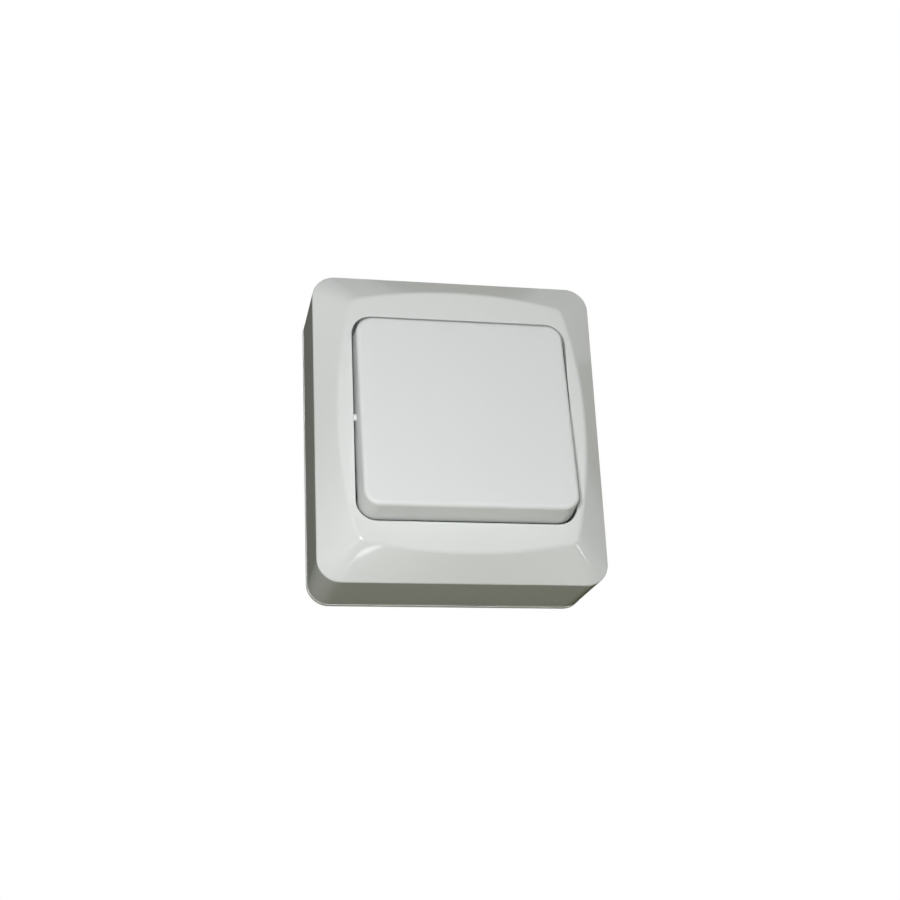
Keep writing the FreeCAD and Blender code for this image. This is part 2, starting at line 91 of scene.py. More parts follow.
@dataclass(frozen=True)
class Finish:
    """A surface finish with slow colour drift, uneven gloss and a fine grain."""

    name: str
    colour: Triple
    roughness: float
    metallic: float = 0.0
    ior: float = 1.5
    drift: float = 0.02
    drift_size: float = 9 * MM
    unevenness: float = 0.15
    grain: Grain = Grain.POLISHED
    grain_size: float = 1.5 * MM
    grain_depth: float = 0.004 * MM
    stretch: float = 14.0

    def material(self) -> bpy.types.Material:
        """Builds the finish as a node material on Object coordinates.

        Returns:
            The new material.
        """
        made = bpy.data.materials.new(self.name)
        made.use_nodes = True
        nodes = made.node_tree.nodes
        links = made.node_tree.links
        shader = nodes["Principled BSDF"]
        shader.inputs["Metallic"].default_value = self.metallic
        shader.inputs["IOR"].default_value = self.ior
        place = nodes.new("ShaderNodeTexCoord").outputs["Object"]

        tint = nodes.new("ShaderNodeMix")
        tint.data_type = "RGBA"
        for end, share in (("A", 1 - self.drift / 2), ("B", 1 + self.drift / 2)):
            tint.inputs[end].default_value = (*[part * share for part in self.colour], OPAQUE)
        slow = self._noise(nodes, links, place, self.drift_size, COLOUR_OCTAVES)
        links.new(slow, tint.inputs["Factor"])
        links.new(tint.outputs["Result"], shader.inputs["Base Color"])

        gloss = nodes.new("ShaderNodeMapRange")
        gloss.inputs["To Min"].default_value = self.roughness * (1 - self.unevenness)
        gloss.inputs["To Max"].default_value = self.roughness * (1 + self.unevenness)
        patches = self._noise(nodes, links, place, self.drift_size / GLOSS_FINENESS, GLOSS_OCTAVES)
        links.new(patches, gloss.inputs["Value"])
        links.new(gloss.outputs["Result"], shader.inputs["Roughness"])

        bump = nodes.new("ShaderNodeBump")
        bump.inputs["Distance"].default_value = self.grain_depth
        links.new(self._relief(nodes, links, place), bump.inputs["Height"])
        links.new(bump.outputs["Normal"], shader.inputs["Normal"])
        return made

    def _noise(
        self,
        nodes: bpy.types.Nodes,
        links: bpy.types.NodeLinks,
        place: bpy.types.NodeSocket,
        size: float,
        octaves: int,
    ) -> bpy.types.NodeSocket:
        """Adds a noise pattern.

        Args:
            nodes: Nodes of the material.
            links: Links of the material.
            place: Socket that gives the coordinates.
            size: Width of the pattern's largest patches.
            octaves: Number of finer layers.

        Returns:
            The socket of the pattern's value.
        """
        noise = nodes.new("ShaderNodeTexNoise")
        noise.inputs["Scale"].default_value = 1 / size
        noise.inputs["Detail"].default_value = octaves
        links.new(place, noise.inputs["Vector"])
        return noise.outputs["Fac"]

    def _relief(
        self, nodes: bpy.types.Nodes, links: bpy.types.NodeLinks, place: bpy.types.NodeSocket
    ) -> bpy.types.NodeSocket:
        """Adds the grain's height pattern.

        Args:
            nodes: Nodes of the material.
            links: Links of the material.
            place: Socket that gives the coordinates.

        Returns:
            The socket of the height.
        """
        if self.grain is Grain.SPARKED:
            cells = nodes.new("ShaderNodeTexVoronoi")
            cells.feature = "SMOOTH_F1"
            cells.inputs["Scale"].default_value = 1 / self.grain_size
            links.new(place, cells.inputs["Vector"])
            return cells.outputs["Distance"]
        if self.grain is Grain.BRUSHED:
            along = nodes.new("ShaderNodeMapping")
            along.inputs["Scale"].default_value = (1 / self.stretch, 1, 1)
            links.new(place, along.inputs["Vector"])
            return self._noise(nodes, links, along.outputs["Vector"], self.grain_size, BRUSHED_OCTAVES)
        return self._noise(nodes, links, place, self.grain_size, POLISHED_OCTAVES)


GLOSSY_WHITE = Finish(
    "glossy_white",
    colour=(0.675, 0.694, 0.687),
    roughness=0.1,
    drift=0.015,
    unevenness=0.2,
    grain_size=4 * MM,
    grain_depth=0.006 * MM,
)
SATIN_WHITE = Finish(
    "satin_white",
    colour=(0.718, 0.738, 0.736),
    roughness=0.42,
    drift=0.015,
    grain=Grain.SPARKED,
    grain_size=0.22 * MM,
    grain_depth=0.004 * MM,
)
MATT_WHITE = Finish(
    "matt_white",
    colour=(0.66, 0.665, 0.65),
    roughness=0.5,
    drift=0.03,
    grain=Grain.SPARKED,
    grain_size=0.4 * MM,
    grain_depth=0.01 * MM,
)
CREAM_PLASTIC = Finish("cream_plastic", colour=(0.60, 0.57, 0.49), roughness=0.38, drift=0.04)
ACETAL = Finish("acetal", colour=(0.70, 0.70, 0.67), roughness=0.33, drift=0.02)
BRASS = Finish(
    "brass",
    colour=(0.72, 0.50, 0.22),
    roughness=0.3,
    metallic=1.0,
    drift=0.12,
    grain=Grain.BRUSHED,
    grain_size=0.25 * MM,
)
SILVER = Finish(
    "silver", colour=(0.80, 0.78, 0.74), roughness=0.25, metallic=1.0, drift=0.08, grain_size=0.5 * MM
)
SPRING_STEEL = Finish(
    "spring_steel",
    colour=(0.52, 0.52, 0.53),
    roughness=0.28,
    metallic=1.0,
    drift=0.1,
    grain=Grain.BRUSHED,
    grain_size=0.15 * MM,
)
ZINC = Finish(
    "zinc", colour=(0.62, 0.63, 0.64), roughness=0.34, metallic=1.0, drift=0.12, grain_size=0.6 * MM
)


@dataclass(frozen=True)
class RoundedOutline:
    """Rectangle with round corners, drawn on the wall plane."""

    width: float
    height: float
    corner: float
    rise: float = 0.0

    def point(self, sector: int, share: float) -> Vector:
        """Gives a point of the outline.

        Args:
            sector: Side or corner, counted from the right side to the lower right corner.
            share: How far along the sector, from 0 to 1.

        Returns:
            The point, with its X and Z in the first two places.
        """
        half_x = self.width / 2 - self.corner
        half_z = self.height / 2 - self.corner
        quarter, is_corner = divmod(sector, 2)
        sign_x, sign_z = CORNER_SIGNS[quarter]
        if is_corner:
            angle = math.pi / 2 * (quarter + share)
            x = sign_x * half_x + self.corner * math.cos(angle)
            z = sign_z * half_z + self.corner * math.sin(angle)
        else:
            run = 2 * share - 1
            reach = Vector((math.cos(quarter * math.pi / 2), math.sin(quarter * math.pi / 2)))
            x = reach.x * self.width / 2 - reach.y * run * half_x
            z = reach.y * self.height / 2 + reach.x * run * half_z
        return Vector((x, z + self.rise))


@dataclass(frozen=True)
class CushionOutline:
    """Four sides bulged to one radius, joined by tangent corner arcs."""

    width: float
    height: float
    bulge: float
    corner: float

    def point(self, sector: int, share: float) -> Vector:
        """Gives a point of the outline.

        Args:
            sector: Side or corner, counted from the right side to the lower right corner.
            share: How far along the sector, from 0 to 1.

        Returns:
            The point, with its X and Z in the first two places.
        """
        quarter, is_corner = divmod(sector, 2)
        side_centre = Vector((self.width / 2 - self.bulge, 0))
        end_centre = Vector((0, self.height / 2 - self.bulge))
        span = (side_centre - end_centre).length
        rise = math.sqrt((self.bulge - self.corner) ** 2 - (span / 2) ** 2)
        across = Vector((-end_centre.y, -side_centre.x)) / span
        centre = (side_centre + end_centre) / 2 + across * rise
        low = math.atan2(centre.y - side_centre.y, centre.x - side_centre.x)
        high = math.atan2(centre.y - end_centre.y, centre.x - end_centre.x)
        flat = quarter % 2 == 1
        if is_corner:
            angle = high + (low - high) * share if flat else low + (high - low) * share
            found = centre + self.corner * Vector((math.cos(angle), math.sin(angle)))
            sign_x, sign_z = CORNER_SIGNS[quarter]
            return Vector((found.x * sign_x, found.y * sign_z))
        run = 2 * share - 1
        if flat:
            angle = math.pi / 2 + run * (math.pi / 2 - high)
            found = end_centre
        else:
            angle = run * low
            found = side_centre
        found = found + self.bulge * Vector((math.cos(angle), math.sin(angle)))
        return -found if quarter >= 2 else found


Outline = RoundedOutline | CushionOutline


@dataclass
class Loft:
    """Closed skin through outlines that share one count of points."""

    side_steps: int = 24
    corner_steps: int = 14
    mesh: bmesh.types.BMesh = field(default_factory=bmesh.new)
    ring: list[bmesh.types.BMEdge] = field(default_factory=list)
    creases: list[tuple[list[bmesh.types.BMEdge], float]] = field(default_factory=list)
    first: list[bmesh.types.BMEdge] = field(default_factory=list)
    outline: Outline | None = None
    height: float = 0.0

    def place(self, mark: int, outline: Outline, height: float) -> Vector:
        """Gives the place of one point of a ring.

        Args:
            mark: The point's count along the ring.
            outline: Outline that the ring follows.
            height: Distance of the ring from the wall.

        Returns:
            The point in the frame of the part.
        """
        pair, step = divmod(mark, self.side_steps + self.corner_steps)
        if step < self.side_steps:
            found = outline.point(2 * pair, step / self.side_steps)
        else:
            found = outline.point(2 * pair + 1, (step - self.side_steps) / self.corner_steps)
        return Vector((found.x, -height, found.y))

    def start(self, outline: Outline, height: float) -> None:
        """Lays the first ring.

        Args:
            outline: Outline that the ring follows.
            height: Distance of the ring from the wall.
        """
        count = len(CORNER_SIGNS) * (self.side_steps + self.corner_steps)
        layer = self.mesh.verts.layers.int.new("mark")
        made = bmesh.ops.create_circle(self.mesh, segments=count, radius=1.0)
        for mark, vert in enumerate(made["verts"]):
            vert[layer] = mark
            vert.co = self.place(mark, outline, height)
        self.ring = list(self.mesh.edges)
        self.first = self.ring
        self.outline = outline
        self.height = height

    def raise_to(self, outline: Outline, height: float, steps: int = 1, crease: float = 0.0) -> None:
        """Extrudes the last ring to a new outline.

        Args:
            outline: Outline to reach.
            height: Distance of that outline from the wall.
            steps: Number of strips on the way.
            crease: Setback of the round edge left at the new ring, or 0 for a sharp one.
        """
        layer = self.mesh.verts.layers.int["mark"]
        for step in range(1, steps + 1):
            share = step / steps
            made = bmesh.ops.extrude_edge_only(self.mesh, edges=self.ring)["geom"]
            self.ring = [part for part in made if isinstance(part, bmesh.types.BMEdge)]
            for vert in [part for part in made if isinstance(part, bmesh.types.BMVert)]:
                old = self.place(vert[layer], self.outline, self.height)
                vert.co = old.lerp(self.place(vert[layer], outline, height), share)
        if crease:
            self.creases.append((list(self.ring), crease))
        self.outline = outline
        self.height = height

    def cap(self) -> None:
        """Closes the last ring with a flat face."""
        bmesh.ops.contextual_create(self.mesh, geom=self.ring)

    def join_ends(self) -> None:
        """Closes the skin between the last ring and the first."""
        bmesh.ops.bridge_loops(self.mesh, edges=self.ring + self.first)

    def round_edges(self, segments: int = 5) -> None:
        """Rounds the creased rings.

        Args:
            segments: Strips across each round edge.
        """
        for edges, setback in self.creases:
            round_over(self.mesh, edges, setback, segments)

    def done(self, name: str) -> bpy.types.Object:
        """Turns the skin into an object.

        Args:
            name: Name of the object.

        Returns:
            The new object.
        """
        self.mesh.verts.layers.int.remove(self.mesh.verts.layers.int["mark"])
        bmesh.ops.recalc_face_normals(self.mesh, faces=self.mesh.faces)
        return as_object(self.mesh, name)


def round_over(
    mesh: bmesh.types.BMesh, edges: list[bmesh.types.BMEdge], setback: float, segments: int
) -> None:
    """Rounds edges of a mesh.

    Args:
        mesh: Geometry to change.
        edges: Edges to round.
        setback: Distance from each edge at which its round starts.
        segments: Strips across each round edge.
    """
    bmesh.ops.bevel(
        mesh,
        geom=edges,
        offset=setback,
        offset_type="OFFSET",
        segments=segments,
        profile=CIRCULAR,
        affect="EDGES",
        material=SAME_MATERIAL,
        clamp_overlap=True,
    )


def as_object(mesh: bmesh.types.BMesh, name: str) -> bpy.types.Object:
    """Makes an object at the origin from a bmesh, which it frees.

    Args:
        mesh: Finished geometry.
        name: Name of the object.

    Returns:
        The new object.
    """
    data = bpy.data.meshes.new(name)
    mesh.to_mesh(data)
    mesh.free()
    made = bpy.data.objects.new(name, data)
    bpy.context.scene.collection.objects.link(made)
    return made


class Operation(Enum):
    """Ways to combine closed objects."""

    CUT_AWAY = "DIFFERENCE"
    JOIN_ON = "UNION"


def combine(target: bpy.types.Object, tools: list[bpy.types.Object], operation: Operation) -> None:
    """Cuts tools out of an object, or joins them to it, and removes the tools.

    Args:
        target: Object to change.
        tools: Closed objects.
        operation: Whether the tools are cut away or joined on.
    """
    for tool in tools:
        step = target.modifiers.new("step", "BOOLEAN")
        step.operation = operation.value
        step.solver = "EXACT"
        step.object = tool
    bpy.context.view_layer.update()
    evaluated = target.evaluated_get(bpy.context.evaluated_depsgraph_get())
    changed = bpy.data.meshes.new_from_object(evaluated)
    changed.name = target.name
    target.modifiers.clear()
    target.data = changed
    for tool in tools:
        bpy.data.objects.remove(tool)


def shade(piece: bpy.types.Object) -> None:
    """Smooths a piece's curved faces, keeps its corners sharp and its flat faces even.

    Args:
        piece: Mesh object.
    """
    mesh = bmesh.new()
    mesh.from_mesh(piece.data)
    for face in mesh.faces:
        face.smooth = True
    for edge in mesh.edges:
        edge.smooth = edge.calc_face_angle(0.0) < SHARP_ANGLE
    mesh.to_mesh(piece.data)
    mesh.free()
    even = piece.modifiers.new("even_normals", "WEIGHTED_NORMAL")
    even.mode = "FACE_AREA"
    even.weight = FLAT_FACE_LEAD
    even.keep_sharp = True


def rod(name: str, start: Vector, end: Vector, radius: float, segments: int = 40) -> bpy.types.Object:
    """Makes a round rod between two points.

    Args:
        name: Name of the object.
        start: Centre of one end.
        end: Centre of the other end.
        radius: Radius of the rod.
        segments: Faces round the rod.

    Returns:
        The new object.
    """
    mesh = bmesh.new()
    along = end - start
    turn = along.to_track_quat("Z", "Y").to_matrix().to_4x4()
    bmesh.ops.create_cone(
        mesh,
        cap_ends=True,
        segments=segments,
        radius1=radius,
        radius2=radius,
        depth=along.length,
        matrix=Matrix.Translation((start + end) / 2) @ turn,
    )
    return as_object(mesh, name)


def slab(name: str, points: list[Vector], depth: Vector) -> bpy.types.Object:
    """Makes a solid by extruding a flat polygon.

    Args:
        name: Name of the object.
        points: Corners of the polygon in order.
        depth: Direction and length of the extrusion.

    Returns:
        The new object.
    """
    mesh = bmesh.new()
    corners = [mesh.verts.new(point) for point in points]
    face = mesh.faces.new(corners)
    made = bmesh.ops.extrude_face_region(mesh, geom=[face])["geom"]
    moved = [part for part in made if isinstance(part, bmesh.types.BMVert)]
    bmesh.ops.translate(mesh, verts=moved, vec=depth)
    bmesh.ops.recalc_face_normals(mesh, faces=mesh.faces)
    return as_object(mesh, name)


def dress(piece: bpy.types.Object, finish: Finish) -> None:
    """Gives a piece one finish all over."""
    piece.data.materials.clear()
    piece.data.materials.append(finish.material())


def report(piece: bpy.types.Object) -> None:
    """Logs a finished piece and its number of faces."""
    LOG.info("%s: %d faces", piece.name, len(piece.data.polygons))


@dataclass
class Cover:
    """Glossy housing with sloping bands, a cushion-shaped face and the well for the button."""

    width: float = 80.0 * MM
    height: float = 89.0 * MM
    rear: float = 1.5 * MM
    rim: float = 25.0 * MM
    face: float = 32.0 * MM
    corner: float = 6.5 * MM
    side_inset: float = 0.4 * MM
    wall: float = 2.2 * MM
    lens_width: float = 68.8 * MM
    lens_height: float = 76.0 * MM
    lens_bulge: float = 128.0 * MM
    lens_corner: float = 3.5 * MM
    rim_round: float = 1.0 * MM
    lens_round: float = 1.4 * MM
    opening_width: float = 60.6 * MM
    opening_height: float = 59.1 * MM
    opening_corner: float = 5.6 * MM
    opening_round: float = 0.6 * MM
    well_wall: float = 1.8 * MM
    well_floor: float = 21.5 * MM
    well_underside: float = 19.9 * MM
    window: float = 12.9 * MM
    window_corner: float = 2.0 * MM
    window_rise: float = PLUNGER_RISE
    screw_offset: float = 22.0 * MM
    screw_hole: float = 1.9 * MM
    pivot: float = PIVOT
    bearing_hole: float = 1.05 * MM
    bearing_depth: float = 1.2 * MM
    knockout_width: float = 16.0 * MM
    knockout_rise: float = 13.0 * MM
    score_width: float = 0.6 * MM
    score_depth: float = 0.8 * MM
    side_strips: int = 4
    band_strips: int = 6
    face_strips: int = 2

    def build(self) -> bpy.types.Object:
        """Builds the cover from rings that run over the outside, down the well and back up the hollow.

        Returns:
            The cover's object.
        """
        run = (self.width - self.lens_width) / 2
        rise = self.face - self.rim
        slope = math.atan2(rise, run)
        slant = self.wall * math.hypot(run, rise) / rise
        bend = self.rim + (self.side_inset + self.wall - slant) * rise / run
        top_inset = slant - self.wall * run / rise
        inset = 2 * (self.side_inset + self.wall)
        rear = RoundedOutline(
            self.width - 2 * self.side_inset,
            self.height - 2 * self.side_inset,
            self.corner - self.side_inset,
        )
        rim = RoundedOutline(self.width, self.height, self.corner)
        lens = CushionOutline(self.lens_width, self.lens_height, self.lens_bulge, self.lens_corner)
        opening = RoundedOutline(self.opening_width, self.opening_height, self.opening_corner)
        window = RoundedOutline(self.window, self.window, self.window_corner, self.window_rise)
        block = RoundedOutline(
            self.opening_width + 2 * self.well_wall,
            self.opening_height + 2 * self.well_wall,
            self.opening_corner + self.well_wall,
        )
        inner_lens = CushionOutline(
            self.lens_width - 2 * top_inset,
            self.lens_height - 2 * top_inset,
            self.lens_bulge - top_inset,
            self.lens_corner - top_inset,
        )
        inner = RoundedOutline(self.width - inset, self.height - inset, self.corner - inset / 2)
        ceiling = self.face - self.wall

        skin = Loft()
        skin.start(rear, self.rear)
        rim_setback = self.rim_round * math.tan((math.pi / 2 - slope) / 2)
        skin.raise_to(rim, self.rim, self.side_strips, rim_setback)
        skin.raise_to(lens, self.face, self.band_strips, self.lens_round * math.tan(slope / 2))
        skin.raise_to(opening, self.face, self.face_strips, self.opening_round)
        skin.raise_to(opening, self.well_floor)
        skin.raise_to(window, self.well_floor)
        skin.raise_to(window, self.well_underside)
        skin.raise_to(block, self.well_underside)
        skin.raise_to(block, ceiling)
        skin.raise_to(inner_lens, ceiling)
        skin.raise_to(inner, bend, self.face_strips)
        skin.raise_to(inner, self.rear)
        skin.join_ends()
        skin.round_edges()
        cover = skin.done("cover_shell")
        combine(cover, self.cutters(), Operation.CUT_AWAY)
        shade(cover)
        return cover

    def cutters(self) -> list[bpy.types.Object]:
        """Makes the tools for the bearing holes, the screw holes and the scored knock-out.

        Returns:
            Closed objects to cut away.
        """
        tools = []
        for end in (-1, 1):
            mouth = Vector((end * self.opening_width / 2, -self.pivot, 0))
            reach = Vector((end * self.bearing_depth, 0, 0))
            tools.append(rod("bearing", mouth - reach, mouth + reach, self.bearing_hole))
            low = Vector((0, -self.well_underside + self.well_wall, end * self.screw_offset))
            high = Vector((0, -self.well_floor - self.well_wall, end * self.screw_offset))
            tools.append(rod("screw_hole", low, high, self.screw_hole))
        tools.append(self.score())
        return tools

    def score(self) -> bpy.types.Object:
        """Makes the tool for the score line round the knock-out in the top side.

        Returns:
            An arch-shaped closed object.
        """
        floor = self.height / 2 - self.side_inset - self.score_depth
        half = self.knockout_width / 2
        shoulder = self.rear + self.knockout_rise - half
        outer = self.arch(half, shoulder, floor)
        inner = self.arch(half - self.score_width, shoulder, floor)
        return slab("score", outer + inner[::-1], Vector((0, 0, self.score_depth + self.wall)))

    def arch(self, half: float, shoulder: float, level: float, steps: int = 32) -> list[Vector]:
        """Draws an arch that stands on the rear edge.

        Args:
            half: Half the width of the arch, and the radius of its crown.
            shoulder: Height at which the crown starts.
            level: Z at which the arch is drawn.
            steps: Points round the crown.

        Returns:
            The points from one foot to the other.
        """
        crown = []
        for step in range(steps + 1):
            angle = math.pi * step / steps
            crown.append(Vector((half * math.cos(angle), -shoulder - half * math.sin(angle), level)))
        return [Vector((half, 0, level))] + crown + [Vector((-half, 0, level))]

    def dress(self, cover: bpy.types.Object) -> None:
        """Finishes the cover and ties it to the frame.

        Args:
            cover: Object that build() made.
        """
        dress(cover, GLOSSY_WHITE)
        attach(cover, "housing")
        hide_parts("cover")
        report(cover)


@dataclass
class PushButton:
    """Satin plate that rocks on two side pins, with its ribs underneath."""

    width: float = 59.2 * MM
    height: float = 57.7 * MM
    corner: float = 5.0 * MM
    wall: float = 1.8 * MM
    pivot: float = PIVOT
    tilt: float = math.radians(6.2)
    skirt: float = 27.9 * MM
    waist: float = 28.9 * MM
    face: float = 36.5 * MM
    crown_inset: float = 0.5 * MM
    face_round: float = 1.2 * MM
    pin_radius: float = 1.0 * MM
    pin_reach: float = 1.6 * MM
    rib_thickness: float = 1.6 * MM
    rib_spacing: float = 40.0 * MM
    stop_inner: float = 10.0 * MM
    stop_outer: float = 24.0 * MM
    stop_depth: float = 8.75 * MM
    web_drop: float = 1.0 * MM
    tip_radius: float = 1.5 * MM
    lever_arm: float = -PLUNGER_RISE
    outline_steps: int = 12
    wall_strips: int = 2
    round_strips: int = 6

    def build(self) -> bpy.types.Object:
        """Builds the plate, joins its ribs and pins to it and tips it to its rest position.

        Returns:
            The button's object.
        """
        edge = RoundedOutline(self.width, self.height, self.corner)
        crown = RoundedOutline(
            self.width - 2 * self.crown_inset,
            self.height - 2 * self.crown_inset,
            self.corner - self.crown_inset,
        )
        hollow = RoundedOutline(
            self.width - 2 * self.wall, self.height - 2 * self.wall, self.corner - self.wall
        )
        draft = math.atan2(self.crown_inset, self.face - self.waist)
        skin = Loft(side_steps=self.outline_steps, corner_steps=self.outline_steps)
        skin.start(hollow, self.face - self.wall)
        skin.cap()
        skin.raise_to(hollow, self.skirt)
        skin.raise_to(edge, self.skirt)
        skin.raise_to(edge, self.waist)
        setback = self.face_round * math.tan((math.pi / 2 - draft) / 2)
        skin.raise_to(crown, self.face, self.wall_strips, setback)
        skin.cap()
        skin.round_edges(self.round_strips)
        button = skin.done("button_plate")
        combine(button, self.ribs() + self.pins(), Operation.JOIN_ON)
        centre = Vector((0, -self.pivot, 0))
        tip = Matrix.Translation(centre) @ Matrix.Rotation(-self.tilt, 4, "X") @ Matrix.Translation(-centre)
        button.data.transform(tip)
        shade(button)
        return button

    def ribs(self) -> list[bpy.types.Object]:
        """Makes the two stop ribs and the driver rib, before the plate is tipped.

        Returns:
            Closed objects.
        """
        root = -(self.face - self.wall / 2)
        web = -(self.pivot - self.web_drop)
        deep = -(self.pivot - self.stop_depth)
        fall = math.tan(self.tilt)
        made = []
        for side in (-1, 1):
            x = side * self.rib_spacing / 2 - self.rib_thickness / 2
            points = []
            for end in (-1, 1):
                stop = [
                    Vector((x, root, end * self.stop_outer)),
                    Vector((x, deep - self.stop_outer * fall, end * self.stop_outer)),
                    Vector((x, deep - self.stop_inner * fall, end * self.stop_inner)),
                    Vector((x, web, end * self.stop_inner)),
                ]
                points += stop if end < 0 else stop[::-1]
            made.append(slab("stop_rib", points, Vector((self.rib_thickness, 0, 0))))
        made.append(self.driver_rib(root))
        return made

    def driver_rib(self, root: float, steps: int = 16) -> bpy.types.Object:
        """Makes the cross rib whose round tip bears on the plunger.

        Args:
            root: Y of the rib's root in the plate.
            steps: Points round the tip.

        Returns:
            A closed object.
        """
        left = -self.rib_spacing / 2
        points = [Vector((left, root, -self.lever_arm - self.tip_radius))]
        for step in range(steps + 1):
            angle = math.pi * (1 - step / steps)
            y = -self.pivot + self.tip_radius * math.sin(angle)
            points.append(Vector((left, y, -self.lever_arm + self.tip_radius * math.cos(angle))))
        points.append(Vector((left, root, -self.lever_arm + self.tip_radius)))
        return slab("driver_rib", points, Vector((self.rib_spacing, 0, 0)))

    def pins(self) -> list[bpy.types.Object]:
        """Makes the two pivot pins.

        Returns:
            Closed objects.
        """
        made = []
        for side in (-1, 1):
            root = Vector((side * (self.width - self.wall) / 2, -self.pivot, 0))
            tip = Vector((side * (self.width / 2 + self.pin_reach), -self.pivot, 0))
            made.append(rod("pin", root, tip, self.pin_radius))
        return made

    def dress(self, button: bpy.types.Object) -> None:
        """Finishes the button and ties it to the frame.

        Args:
            button: Object that build() made.
        """
        dress(button, SATIN_WHITE)
        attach(button, "button")
        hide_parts("push_button")
        report(button)


@dataclass
class WallPlate:
    """Moulded plate that is screwed to the wall, with its edges eased."""

    merge: float = 0.002 * MM
    flat_angle: float = math.radians(1.0)
    ease: float = 0.15 * MM
    ease_steps: int = 2

    def build(self) -> bpy.types.Object:
        """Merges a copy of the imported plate, clears its flat faces and eases its sharp edges.

        Returns:
            The plate's object.
        """
        mesh = bmesh.new()
        mesh.from_mesh(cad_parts["base_plate"].data)
        bmesh.ops.remove_doubles(mesh, verts=mesh.verts, dist=self.merge)
        bmesh.ops.dissolve_limit(mesh, angle_limit=self.flat_angle, verts=mesh.verts, edges=mesh.edges)
        sharp = [edge for edge in mesh.edges if edge.calc_face_angle(0.0) > SHARP_ANGLE]
        round_over(mesh, sharp, self.ease, self.ease_steps)
        plate = as_object(mesh, "wall_plate")
        shade(plate)
        return plate

    def dress(self, plate: bpy.types.Object) -> None:
        """Finishes the plate and ties it to the frame.

        Args:
            plate: Object that build() made.
        """
        dress(plate, MATT_WHITE)
        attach(plate, "housing")
        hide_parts("base_plate")
        report(plate)


@dataclass
class ReturnSpring:
    """Round wire wound between the housing floor and the contact bridge."""

    radius: float = 3.0 * MM
    wire: float = 0.5 * MM
    seat: float = 4.5 * MM
    top: float = 13.01 * MM
    rise: float = PLUNGER_RISE
    turns: int = 5
    turn_steps: int = 40
    wire_steps: int = 12
    squeezed: float = 0.746

    def build(self) -> bpy.types.Object:
        """Winds a circle of wire along a helix and closes its ends.

        Returns:
            The spring's object.
        """
        mesh = bmesh.new()
        start = Vector((self.radius, -self.seat - self.wire / 2, self.rise))
        ring = bmesh.ops.create_circle(
            mesh,
            cap_ends=False,
            segments=self.wire_steps,
            radius=self.wire / 2,
            matrix=Matrix.Translation(start),
        )["verts"]
        steps = self.turns * self.turn_steps
        climb = self.top - self.seat - self.wire
        first = list(mesh.edges)
        wound = bmesh.ops.spin(
            mesh,
            geom=ring + first,
            cent=Vector((0, 0, self.rise)),
            axis=Vector((0, -1, 0)),
            dvec=Vector((0, -climb / steps, 0)),
            angle=2 * math.pi * self.turns,
            steps=steps,
            use_merge=False,
            use_duplicate=False,
        )
        last = [part for part in wound["geom_last"] if isinstance(part, bmesh.types.BMEdge)]
        bmesh.ops.contextual_create(mesh, geom=first)
        bmesh.ops.contextual_create(mesh, geom=last)
        bmesh.ops.recalc_face_normals(mesh, faces=mesh.faces)
        spring = as_object(mesh, "wound_spring")
        shade(spring)
        return spring

    def dress(self, spring: bpy.types.Object) -> None:
        """Finishes the spring, ties it to the frame and gives it a mesh of its own.

        Args:
            spring: Object that build() made.
        """
        dress(spring, SPRING_STEEL)
        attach(spring, "housing")
        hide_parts("return_spring")
        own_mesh(spring)
        report(spring)


@dataclass
class Mechanism:
    """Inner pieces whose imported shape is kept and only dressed."""

    finishes: dict[str, Finish] = field(
        default_factory=lambda: {
            "switch_body": CREAM_PLASTIC,
            "switch_lid": CREAM_PLASTIC,
            "plunger": ACETAL,
            "contact_bridge": BRASS,
            "bridge_contacts": SILVER,
            "fixed_contact_left": BRASS,
            "fixed_contact_right": BRASS,
            "fixed_contact_tips": SILVER,
            "terminal_clamp_left": BRASS,
            "terminal_clamp_right": BRASS,
            "terminal_screws": ZINC,
            "body_screws": ZINC,
            "cover_screws": ZINC,
        }
    )

    def dress(self) -> None:
        """Gives each inner piece its finish."""
        for name, finish in self.finishes.items():
            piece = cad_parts[name]
            dress(piece, finish)
            report(piece)


class Reach(Enum):
    """What a lamp acts on."""

    SURFACES = "surfaces"
    REFLECTIONS = "reflections"


@dataclass(frozen=True)
class Lamp:
    """A square lamp that faces the part."""

    name: str
    direction: Triple
    distance: float
    size: float
    power: float
    reach: Reach = Reach.SURFACES

    def build(self, centre: Vector) -> None:
        """Places the lamp.

        Args:
            centre: Point that the lamp faces.
        """
        data = bpy.data.lights.new(self.name, "AREA")
        data.shape = "SQUARE"
        data.size = self.size
        data.energy = self.power
        lamp = bpy.data.objects.new(self.name, data)
        away = Vector(self.direction).normalized()
        lamp.location = centre + away * self.distance
        lamp.rotation_euler = (-away).to_track_quat("-Z", "Y").to_euler()
        lamp.visible_camera = False
        lamp.visible_glossy = self.reach is Reach.REFLECTIONS
        lamp.visible_diffuse = self.reach is Reach.SURFACES
        bpy.context.scene.collection.objects.link(lamp)


